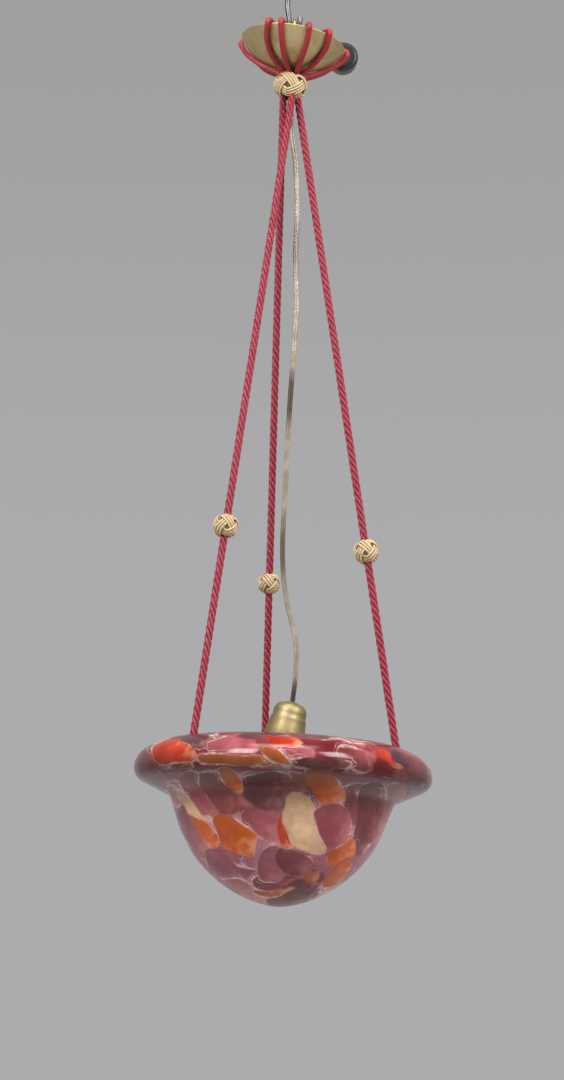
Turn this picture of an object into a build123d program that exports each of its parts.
from build123d import *
import math
import os

os.makedirs("parts", exist_ok=True)

# Pendant light: a mottled glass bowl on three red ropes, gathered in a braided knot under a spun
# brass canopy cup that hangs on a steel hook. Millimetres, +Z up, +X right, front towards -Y.
# The origin is the seat inside the hook's upper bend. Azimuths count from the front, + to the right.

# Steel hook and the ring that hangs on it
hook_wire = 6.0
hook_top_bend = 8.2
hook_low_bend = 6.5
hook_low_z = -68.0
hook_mouth_rise = 4.5
hook_top_opening = -25.0
hook_shank_end = -50.0
ring_wire = 4.5
ring_bend = 7.5
link_gap = 0.3

# Sling: nine cords from the ring over the canopy's rim into the top knot
bail_wire = 3.0
binding_radius = 11.5
binding_top = -87.5
binding_foot = -97.0
binding_round = 2.5
bail_bite = 2.0
sling_cord = 6.2
sling_rim_azimuths = (-166, -137, -108, -27, -13, 17, 41, 98, 128)
sling_first_azimuth = -170
sling_step = 40
sling_start_inset = 2.0
sling_start_rise = 5.0
sling_rim_over = (1.8, 4.4)
sling_rim_past = (4.4, -0.9)
sling_rim_bend = 4.2
sling_cup_gap = 0.2
sling_cup_steps = ((0.8, 0.25), (0.42, 0.6))
sling_knot_reach = 8.5
sling_knot_sink = 6.5

# Canopy cup, spun from sheet as a cap of a sphere, rolled down to the right
canopy_at = (-1.8, 0, -98.4)
canopy_roll = 8.5
canopy_sphere = 74.7
canopy_sheet = 1.5
canopy_hole = 7.5
canopy_rim_radius = 62.2
bush_bore = 4.7
bush_lip = 2.5
bush_lip_thickness = 1.5
bush_below = 0.9
bush_above = 2.1
bush_gap = 0.02

# Top knot and the three ropes
knot_at = (-5.5, 0, -150.4)
knot_roll = 10.0
knot_radius = 21.0
knot_half_height = 18.0
rope_diameter = 9.0
rope_sides = ("left", "right", "rear")
rope_top_z = -152.0
rope_tops = {"left": (-0.9, -7.2), "right": (1.9, 5.4), "rear": (-13.3, 2.3)}
rope_azimuths = {"left": -47.5, "right": 66.8, "rear": 190}
anchor_radius = 135.0
anchor_height = 31.0

# Slip knots on the ropes: height, radius and half height
slip_knots = {
    "left": (-698.4, 15.2, 14.6),
    "right": (-722.6, 15.2, 15.4),
    "rear": (-735.1, 14.2, 13.6)}
slip_bore_gap = 0.06

# Glass bowl: the outer line from the tip outwards, as (radius, turn) arcs and (0, length) lines
bowl_at = (-13.9, 0, -971.1)
bowl_roll = 2.5
bowl_wall = 5.0
bowl_depth = 149.0
bowl_outline = ((60, 8), (120, 14), (145, 40), (60, 8), (0, 36), (9, -45), (0, 32.3),
                (15.5, 65), (24, 52), (66.5, 38), (8, 60))
rope_hole = 11.4
stopper_radius = 7.9
washer_radius = 9.4
washer_thickness = 3.0
washer_seat = 1.4
rope_tail = 1.2
hole_reach = 16.0
knot_gap = 0.05

# Flat twin flex, its drop to the lampholder and its tail to the plug
flex_width = 6.2
flex_thickness = 3.2
flex_drop_route = (
    (-4.5, 1, -170.0), (-4.4, 1, -190), (-3.6, 1.4, -214), (1.2, 1.8, -242), (2.9, 1.6, -281),
    (3.3, 1, -318), (0.9, 0.6, -349), (1.2, 0, -386), (2.7, -0.4, -424), (-1.6, -0.6, -484),
    (-5.7, -0.3, -536),
    (-9.2, 0, -600), (-11.5, 0.4, -650), (-14.1, 0.6, -692), (-14.6, 0.5, -724), (-12.9, 0, -750),
    (-9.8, -0.2, -773), (-4.6, -0.3, -796), (0.4, -0.2, -816), (1.7, 0, -838), (0.6, 0, -860),
    (-1.8, 0, -879), (-3.9, 0, -894.2))
flex_tail_route = (
    (-4.5, 1, -169.5), (-5.6, 0.6, -149), (-6.6, 1.4, -127), (-7.4, 10, -109.5), (-8, 27, -99.5),
    (-5.5, 44, -96.5), (3.5, 56, -94.6), (17, 60.5, -93.7), (29.5, 57.2, -93.4))

# Lampholder, its own axis leaning to the left going down; heights count down from the flex entry
holder_at = (-3.4, 0, -891.0)
holder_lean = 13.6
flex_bore = 4.4
holder_sheet = 0.9
holder_entry = 5.2
cap_radius = 19.1
cap_height = 20.0
cap_outside = ((5.2, 0), (11, -0.6), (15.6, -3.2), (18.3, -7.5), (19.1, -12.5), (19.1, -19.4))
cap_inside = ((18.2, -19.4), (18.2, -12.8), (17.4, -8), (15, -4), (10.7, -1.5), (5.2, -0.9))
skirt_end = 48.0
skirt_outside = ((19.15, -17.6), (20.4, -17.6), (20.6, -20), (22.9, -31), (23.5, -35), (23.5, -48))
skirt_inside = ((21.9, -48), (21.9, -46.8), (22.6, -46.8), (22.6, -35.2), (22, -31.2), (19.7, -20),
                (19.15, -20))
bush_flange = 1.4
bush_flange_top = 1.0
bush_length = 4.5
core_top = 9.0
core_line = ((13.5, -9), (17.4, -13), (17.4, -25))
core_slot = (9.0, 20.0, 5.0)
terminal_offset = 9.5
terminal_hole = 1.5
terminal_shaft = 1.45
terminal_head = (2.8, 1.9, -6.6)
terminal_slot = (0.8, 6.0, -5.8)
thread_radius = 13.1
thread_pitch = 3.6
thread_depth = 0.6
thread_gap = 0.35
thread_start = 26.4
screw_shell_top = 25.05
screw_shell_sheet = 0.8
screw_shell_end = 45.0
screw_shell_hole = 2.6
liner_gap = 1.2
liner_line = ((20.2, -30), (22.3, -36.5), (22.3, -45.8))
contact_pad = (3.4, 3.4, 1.6)
contact_pad_z = -25.9
contact_stem = (1.2, 2.2, -24.6)
contact_stem_hole = (1.3, 3.2)

# Bulb, along the same axis
bulb_cap_top = 27.2
bulb_cap_end = 50.0
bulb_cap_sheet = 0.5
bulb_cap_crown = ((7.2, -29.8), (12.2, -30.6))
bulb_cap_crown_inside = ((11.7, -31.1), (7.2, -30.3))
insulator_line = ((4.6, -28), (7.15, -29.8), (7.15, -32.2), (4.6, -32.2))
tip_line = ((0, -27.2), (2.5, -27.2), (4.55, -28.2), (4.55, -31.2), (0, -31.2))
bulb_radius = 30.0
bulb_end = 131.0
bulb_wall = 0.9
bulb_neck_gap = 0.8
bulb_neck_span = 6.0
bulb_neck_flare = 1.4
bulb_waist = 38.0
bulb_low_side = -0.6
stem_line = ((0, -46), (9.5, -46), (8.5, -49), (3.2, -58), (2.2, -78), (0, -80))
arm_start = (1.2, -79.0)
arm_end = (11.0, -92.0)
arm_radius = 0.35
filament_foot = -96.0
filament_radius = 0.5

# Round two-pin plug behind the canopy, its face to the front
plug_at = (59.2, 46.0, -93.4)
plug_radius = 18.2
plug_step_radius = 13.0
plug_cover_depth = 9.0
plug_base_depth = 12.0
plug_cover_line = ((13, 0), (13.8, -1.6), (16.6, -2.2), (18.2, -4), (18.2, -9))
plug_joint_gap = 0.02
plug_base_taper = 1.0
plug_screw_radius = 2.1
plug_screw_hole = 2.2
plug_screw_top = -1.1
plug_screw_slot = (6.0, 0.8, 1.2)
pin_diameter = 4.8
pin_length = 19.0
pin_spacing = 19.0
pin_tip = 1.2
pin_root = (1.8, 6.0)
relief_length = 11.5
relief_radii = (5.2, 4.2)
relief_axis = -11.0
relief_bite = 5.4
relief_overlap = 2.6


def save(node, shape):
    export_step(shape, "parts/" + node + ".step")


def turned(points):
    outline = Polyline(*[(r, 0, z) for r, z in points], close=True)
    return revolve(make_face(outline.edges()), Axis.Z, 360)


def walk(start, heading, steps, inset=0.0):
    # Edges of a line that goes round arcs and along straights, shifted to its left by inset
    way = Vector(math.cos(math.radians(heading)), math.sin(math.radians(heading)))
    point = Vector(start) + Vector(-way.Y, way.X) * inset
    edges = []
    for radius, amount in steps:
        if radius == 0:
            edge = Line(point, point + way * amount)
        else:
            true_radius = radius - math.copysign(inset, amount)
            edge = JernArc(point, way, true_radius, amount)
        edges.append(edge)
        point = edge @ 1
        way = edge % 1
    return edges


def shell_of(start, heading, steps, wall):
    # A turned sheet with a round edge, from its outer line and its thickness
    outer = walk(start, heading, steps)
    inner = walk(start, heading, steps, wall)
    way = outer[-1] % 1
    lip_top = (outer[-1] @ 1 + inner[-1] @ 1) * 0.5 + way * (wall / 2)
    edges = outer + inner
    edges.append(ThreePointArc(outer[-1] @ 1, lip_top, inner[-1] @ 1))
    edges.append(Line(outer[0] @ 0, inner[0] @ 0))
    face = make_face([e for part in edges for e in part.edges()])
    return revolve(Plane.XZ * face, Axis.Z, 360)


def along(points, section, tight=None):
    # A cord's tube: straight runs joined by arcs as large as the two runs allow
    points = [Vector(p) for p in points]
    radii = []
    for i in range(1, len(points) - 1):
        before = points[i] - points[i - 1]
        after = points[i + 1] - points[i]
        half_turn = math.radians(before.get_angle(after)) / 2
        radius = 0.45 * min(before.length, after.length) / math.tan(half_turn)
        radii.append(min(radius, 900.0))
    for corner, radius in (tight or {}).items():
        radii[corner - 1] = radius
    path = FilletPolyline(*points, radius=radii)
    start = Plane(origin=path @ 0, z_dir=path % 0, x_dir=(1, 0, 0))
    solid = sweep(start * section, path=path)
    return solid, path, radii


def report_cord(name, solid, path, radii, area):
    ratio = solid.volume / (area * path.length)
    print(name, "length", round(path.length, 1), "least radius", round(min(radii), 1),
          "volume over section times length", round(ratio, 4))


def polar(centre, radius, azimuth, height):
    angle = math.radians(azimuth)
    level = Vector(radius * math.sin(angle), -radius * math.cos(angle), height)
    return Vector(centre) + level


canopy_frame = Location(canopy_at, (0, canopy_roll, 0))
bowl_frame = Location(bowl_at, (0, bowl_roll, 0))
holder_frame = Location(holder_at, (0, holder_lean, 0))
knot_frame = Location(knot_at, (0, knot_roll, 0))


def placed(frame, point):
    return (frame * Location(tuple(point))).position


def rope_ends(side):
    top = Vector(rope_tops[side][0], rope_tops[side][1], rope_top_z)
    anchor = placed(bowl_frame, polar((0, 0, 0), anchor_radius, rope_azimuths[side], anchor_height))
    return top, anchor


def rope_way(side):
    top, anchor = rope_ends(side)
    return (anchor - top).normalized()


def rope_plane(side, point):
    return Plane(origin=point, z_dir=rope_way(side) * -1, x_dir=(1, 0, 0))


def rod(start, end, radius):
    way = end - start
    column = Cylinder(radius, way.length, align=(Align.CENTER, Align.CENTER, Align.MIN))
    return Plane(origin=start, z_dir=way) * column


def make_hook():
    # One bent wire: upper bend, straight shank, lower bend with its tip turned out
    seat_z = hook_wire / 2
    top_centre = seat_z - hook_top_bend
    opening = math.radians(hook_top_opening)
    start = Vector(hook_top_bend * math.cos(opening), 0, top_centre + hook_top_bend * math.sin(opening))
    upper = ThreePointArc(start, (0, 0, seat_z), (-hook_top_bend, 0, top_centre))
    knee = Vector(-hook_top_bend, 0, hook_shank_end)
    shank = Line((-hook_top_bend, 0, top_centre), knee)
    lower_start = Vector(-hook_low_bend, 0, hook_low_z)
    bend_in = Spline(knee, lower_start, tangents=[(0, 0, -1), (0, 0, -1)])
    lower_end = Vector(hook_low_bend, 0, hook_low_z)
    lower = ThreePointArc(lower_start, (0, 0, hook_low_z - hook_low_bend), lower_end)
    tip = Line(lower_end, lower_end + Vector(0, 0, hook_mouth_rise))
    path = Wire(upper.edges() + shank.edges() + bend_in.edges() + lower.edges() + tip.edges())
    profile = Plane(origin=path @ 0, z_dir=path % 0) * Circle(hook_wire / 2)
    return sweep(profile, path=path)


ring_top_z = hook_low_z - hook_low_bend + hook_wire / 2 + link_gap + ring_wire / 2
ring_centre = Vector(0, 0, ring_top_z - ring_bend)
ring_foot = Vector(0, 0, ring_top_z - 2 * ring_bend)


def make_ring():
    return Location(ring_centre) * Rot(0, 90, 0) * Torus(ring_bend, ring_wire / 2)


def make_binding():
    # Thread-bound collar and the short bail that loops over the ring's foot
    bail_bend = ring_wire / 2 + link_gap + bail_wire / 2
    leg_z = binding_top - bail_bite
    arch = ThreePointArc(ring_foot + Vector(-bail_bend, 0, 0), ring_foot + Vector(0, 0, bail_bend),
                         ring_foot + Vector(bail_bend, 0, 0))
    left_leg = Line((-bail_bend, 0, leg_z), ring_foot + Vector(-bail_bend, 0, 0))
    right_leg = Line(ring_foot + Vector(bail_bend, 0, 0), (bail_bend, 0, leg_z))
    path = Wire(left_leg.edges() + arch.edges() + right_leg.edges())
    bail = sweep(Plane(origin=path @ 0, z_dir=path % 0) * Circle(bail_wire / 2), path=path)
    collar = turned([(0, binding_foot), (binding_radius, binding_foot),
                     (binding_radius, binding_top), (0, binding_top)])
    collar = fillet(collar.edges(), binding_round)
    return collar + bail


def sling_points(index):
    # Corners of one sling cord, from the binding over the rim and down the cup into the knot
    rim = sling_rim_azimuths[index]
    inner = sling_first_azimuth + sling_step * index
    low_radius = canopy_sphere + sling_cord / 2 + sling_cup_gap
    rim_angle = math.degrees(math.asin(canopy_rim_radius / canopy_sphere))
    sphere_z = math.sqrt(canopy_sphere**2 - canopy_rim_radius**2)
    points = [polar((0, 0, 0), binding_radius - sling_start_inset, inner, binding_foot + sling_start_rise)]
    for out, up in (sling_rim_over, sling_rim_past):
        points.append(placed(canopy_frame, polar((0, 0, 0), canopy_rim_radius + out, rim, up)))
    reach = low_radius / math.cos(math.radians(0.2 * rim_angle))
    for part, share in sling_cup_steps:
        angle = part * rim_angle
        azimuth = rim + share * (inner - rim)
        height = sphere_z - reach * math.cos(math.radians(angle))
        out = reach * math.sin(math.radians(angle))
        points.append(placed(canopy_frame, polar((0, 0, 0), out, azimuth, height)))
    sink = knot_half_height - sling_knot_sink
    points.append(placed(knot_frame, polar((0, 0, 0), sling_knot_reach, inner, sink)))
    return points


def make_sling_cords():
    cords = []
    for index in range(len(sling_rim_azimuths)):
        section = Circle(sling_cord / 2)
        bends = {1: sling_rim_bend, 2: sling_rim_bend}
        solid, path, radii = along(sling_points(index), section, tight=bends)
        report_cord("sling cord " + str(index + 1), solid, path, radii, section.area)
        cords.append(solid)
    return cords


def make_canopy():
    hole_angle = math.degrees(math.asin(canopy_hole / canopy_sphere))
    rim_angle = math.degrees(math.asin(canopy_rim_radius / canopy_sphere))
    sphere_z = math.sqrt(canopy_sphere**2 - canopy_rim_radius**2)
    start = (canopy_hole, sphere_z - math.sqrt(canopy_sphere**2 - canopy_hole**2))
    cup = shell_of(start, hole_angle, ((canopy_sphere, rim_angle - hole_angle),), canopy_sheet)
    floor_z = sphere_z - canopy_sphere
    low = floor_z - bush_below
    seat = floor_z + bush_above
    neck = canopy_hole - bush_gap
    flange = canopy_hole + bush_lip
    bush = turned([(bush_bore, low), (neck, low), (neck, seat), (flange, seat),
                   (flange, seat + bush_lip_thickness), (bush_bore, seat + bush_lip_thickness)])
    return canopy_frame * cup, canopy_frame * bush


def ball_knot(radius, half_height):
    # A braided knot as its plain form: a ball a little flattened
    angles = [math.radians(a) for a in range(-80, 81, 20)]
    half = Spline(*[(radius * math.cos(a), 0, half_height * math.sin(a)) for a in angles])
    crown = Line(half @ 1, (0, 0, (half @ 1).Z))
    axis = Line(crown @ 1, (0, 0, (half @ 0).Z))
    foot = Line(axis @ 1, half @ 0)
    return revolve(make_face(half.edges() + crown.edges() + axis.edges() + foot.edges()), Axis.Z, 360)


def make_ropes():
    ropes = {}
    for side in rope_sides:
        top, anchor = rope_ends(side)
        end = anchor + rope_way(side) * (bowl_wall + washer_thickness + rope_tail * stopper_radius)
        ropes[side] = rod(top, end, rope_diameter / 2)
    return ropes


def make_slip_knot(side):
    height, radius, half_height = slip_knots[side]
    top, anchor = rope_ends(side)
    share = (height - top.Z) / (anchor.Z - top.Z)
    centre = top + (anchor - top) * share
    body = ball_knot(radius, half_height) - Cylinder(rope_diameter / 2 + slip_bore_gap, 4 * half_height)
    return rope_plane(side, centre) * body


def make_bowl():
    bowl = bowl_frame * shell_of((0, -bowl_depth), 0, bowl_outline, bowl_wall)
    for side in rope_sides:
        anchor = rope_ends(side)[1]
        reach = rope_way(side) * hole_reach
        bowl -= rod(anchor - reach, anchor + reach, rope_hole / 2)
    return bowl


def make_stopper(side, rope, bowl):
    # Leather washer pressed against the glass from below, and the knot that ends the rope
    anchor = rope_ends(side)[1]
    way = rope_way(side)
    washer_top = anchor + way * (bowl_wall - washer_seat)
    blank = rod(washer_top, washer_top + way * washer_thickness, washer_radius) - bowl - rope
    washer = blank.solids().sort_by(SortBy.VOLUME)[-1]
    centre = washer_top + way * (washer_thickness + stopper_radius + knot_gap)
    stopper = rope_plane(side, centre) * ball_knot(stopper_radius, stopper_radius) - rope
    return washer, stopper


def make_flex():
    area = SlotOverall(flex_width, flex_thickness)
    drop, drop_path, drop_radii = along(flex_drop_route, area)
    report_cord("flex drop", drop, drop_path, drop_radii, area.area)
    tail, tail_path, tail_radii = along(flex_tail_route, area)
    report_cord("flex tail", tail, tail_path, tail_radii, area.area)
    return drop, tail


def thread_line(radius, top, end, steps_per_pitch=2):
    # A rolled thread's section as rings of one pitch each
    points = []
    count = int((end - top) / thread_pitch)
    for step in range(count * steps_per_pitch + 1):
        wave = thread_depth if step % 2 else 0.0
        points.append((radius - wave, -(top + step * thread_pitch / steps_per_pitch)))
    return points


def make_holder():
    pieces = {}
    pieces["holder_cap"] = turned([*cap_outside, *cap_inside])
    pieces["holder_skirt"] = turned([*skirt_outside, *skirt_inside])
    flange = holder_entry + bush_flange
    neck = holder_entry - bush_gap
    pieces["holder_bush"] = turned([(flex_bore, bush_flange_top), (flange, bush_flange_top),
                                    (flange, bush_gap), (neck, bush_gap), (neck, -bush_length),
                                    (flex_bore, -bush_length)])
    core_foot = core_line[-1][1]
    core = turned([(0, -core_top), *core_line, (0, core_foot)])
    core -= Pos(0, 0, -core_top) * Box(*core_slot)
    for x in (-terminal_offset, terminal_offset):
        core -= Pos(x, 0, -core_top - 2) * Cylinder(terminal_hole, 8)
    stem_radius, stem_length, stem_z = contact_stem
    core -= Pos(0, 0, stem_z) * Cylinder(*contact_stem_hole)
    pieces["holder_core"] = core
    grip = thread_radius + thread_gap
    outer = grip + screw_shell_sheet
    low = -screw_shell_top - screw_shell_sheet
    sleeve_line = thread_line(grip, thread_start, screw_shell_end)
    wall_line = [(r + screw_shell_sheet, z) for r, z in sleeve_line]
    shell = turned([(screw_shell_hole, -screw_shell_top), (outer, -screw_shell_top), *wall_line,
                    *sleeve_line[::-1], (grip, low), (screw_shell_hole, low)])
    pieces["screw_shell"] = shell
    liner_inner = grip + liner_gap
    liner_top, liner_foot = liner_line[0][1], liner_line[-1][1]
    pieces["liner_ring"] = turned([(liner_inner, liner_top), *liner_line, (liner_inner, liner_foot)])
    pad = Pos(0, 0, contact_pad_z) * Box(*contact_pad)
    pieces["centre_contact"] = pad + Pos(0, 0, stem_z) * Cylinder(stem_radius, stem_length)
    head_radius, head_height, head_z = terminal_head
    slot_width, slot_length, slot_z = terminal_slot
    screws = []
    for x in (-terminal_offset, terminal_offset):
        shaft = Pos(x, 0, -core_top - 1.5) * Cylinder(terminal_shaft, 6)
        head = Pos(x, 0, head_z) * Cylinder(head_radius, head_height)
        slot = Pos(x, 0, slot_z) * Box(slot_width, slot_length, slot_width)
        screws.append(shaft + head - slot)
    pieces["terminal_screws"] = Compound(children=screws)
    return pieces


def bulb_envelope(inset):
    # Half of the bulb's outline, moved inwards by inset, as edges from the neck to the foot
    neck = thread_radius - thread_depth - bulb_neck_gap - inset
    ball_z = bulb_radius - bulb_end
    reach = bulb_radius - inset
    waist = math.radians(bulb_waist)
    top = Vector(neck, 0, -bulb_cap_end + bulb_neck_span)
    low = Vector(neck + bulb_neck_flare, 0, -bulb_cap_end - bulb_neck_span)
    meet = Vector(reach * math.cos(waist), 0, ball_z + reach * math.sin(waist))
    side = Vector(reach * math.cos(bulb_low_side), 0, ball_z + reach * math.sin(bulb_low_side))
    foot = Vector(0, 0, ball_z - reach)
    flare_way = (math.sin(waist), 0, -math.cos(waist))
    throat = Line(top, low)
    flare = Spline(low, meet, tangents=[(0.1, 0, -1), flare_way])
    ball = ThreePointArc(meet, side, foot)
    return throat.edges() + flare.edges() + ball.edges(), top, foot


def make_bulb():
    pieces = {}
    cap_line = thread_line(thread_radius, thread_start + 2 * thread_pitch, bulb_cap_end - 2)
    inner_line = [(r - bulb_cap_sheet, z) for r, z in cap_line]
    rim = cap_line[-1][0]
    pieces["bulb_cap"] = turned([*bulb_cap_crown, *cap_line, (rim, -bulb_cap_end),
                                 (rim - bulb_cap_sheet, -bulb_cap_end), *inner_line[::-1],
                                 *bulb_cap_crown_inside])
    pieces["bulb_insulator"] = turned([*insulator_line])
    pieces["bulb_tip"] = turned([*tip_line])
    outer, outer_top, outer_foot = bulb_envelope(0)
    inner, inner_top, inner_foot = bulb_envelope(bulb_wall)
    edges = outer + inner + Line(outer_top, inner_top).edges() + Line(outer_foot, inner_foot).edges()
    pieces["bulb_glass"] = revolve(make_face(edges), Axis.Z, 360)
    pieces["bulb_stem"] = turned([*stem_line])
    end_x, end_z = arm_end
    arc = ThreePointArc((-end_x, 0, end_z), (0, 0, filament_foot), (end_x, 0, end_z))
    coil = sweep(Plane(origin=arc @ 0, z_dir=arc % 0) * Circle(filament_radius), path=arc)
    arms = []
    for side in (-1, 1):
        arm = rod(Vector(arm_start[0] * side, 0, arm_start[1]), Vector(end_x * side, 0, end_z), arm_radius)
        arms.append(arm - coil - pieces["bulb_stem"])
    pieces["filament_arms"] = Compound(children=arms)
    pieces["filament"] = coil
    return pieces


def make_plug():
    # Built face up, then laid so that the face looks to the front and the pins point back
    lay = Location(plug_at) * Rot(90, 0, 0)
    cover = turned([(plug_screw_hole, 0), *plug_cover_line, (plug_screw_hole, -plug_cover_depth)])
    base_top = -plug_cover_depth - plug_joint_gap
    base_foot = -plug_cover_depth - plug_base_depth
    base = turned([(0, base_top), (plug_radius, base_top), (plug_radius - plug_base_taper, base_foot),
                   (0, base_foot)])
    root_radius, root_length = pin_root
    pins = []
    for x in (-pin_spacing / 2, pin_spacing / 2):
        pin = Pos(x, 0, base_foot - pin_length / 2) * Cylinder(pin_diameter / 2, pin_length)
        pin = fillet(pin.edges().sort_by(Axis.Z)[0], pin_tip)
        root = Pos(x, 0, base_foot + root_length / 2) * Cylinder(root_radius, root_length)
        base -= root
        pins.append(pin + root)
    screw_length = plug_cover_depth - 0.2
    screw = Pos(0, 0, plug_screw_top - screw_length / 2) * Cylinder(plug_screw_radius, screw_length)
    screw -= Pos(0, 0, plug_screw_top - 0.1) * Box(*plug_screw_slot)
    screw_seat = Pos(0, 0, -plug_cover_depth - 1) * Cylinder(plug_screw_hole, 2.2)
    bite = Pos(-plug_radius + 1, 0, relief_axis) * Rot(0, 90, 0) * Cylinder(relief_bite, 8)
    relief = Pos(-plug_radius - relief_length / 2 + relief_overlap, 0, relief_axis)
    relief *= Rot(0, -90, 0) * Cone(*relief_radii, relief_length)
    return {"plug_cover": lay * (cover - bite), "plug_base": lay * (base - bite - screw_seat),
            "plug_pins": Compound(children=[lay * pin for pin in pins]), "plug_screw": lay * screw,
            "plug_relief": lay * relief}


def main():
    save("hook", make_hook())
    save("hanging_ring", make_ring())
    cords = make_sling_cords()
    ropes = make_ropes()
    drop, tail = make_flex()
    canopy, canopy_bush = make_canopy()
    binding = make_binding()
    top_knot = knot_frame * ball_knot(knot_radius, knot_half_height)
    for index, cord in enumerate(cords):
        save("sling_cord_" + str(index + 1), cord - top_knot - binding)
    for side in rope_sides:
        ropes[side] -= top_knot
        save("rope_" + side, ropes[side])
    flex_way = Vector(flex_tail_route[2]) - Vector(flex_tail_route[0])
    knot_centre = (Vector(flex_tail_route[2]) + Vector(flex_tail_route[0])) * 0.5
    top_knot -= rod(knot_centre - flex_way, knot_centre + flex_way, flex_bore)
    save("top_knot", top_knot)
    save("sling_binding", binding)
    save("canopy_cup", canopy)
    save("canopy_bush", canopy_bush - canopy - top_knot)
    bowl = make_bowl()
    save("glass_bowl", bowl)
    for side in rope_sides:
        washer, stopper = make_stopper(side, ropes[side], bowl)
        save("rope_washer_" + side, washer)
        save("stopper_knot_" + side, stopper)
        save("slip_knot_" + side, make_slip_knot(side))
    save("flex_drop", drop)
    save("flex_tail", tail)
    for node, piece in {**make_holder(), **make_bulb()}.items():
        save(node, holder_frame * piece)
    for node, piece in make_plug().items():
        save(node, piece)


main()
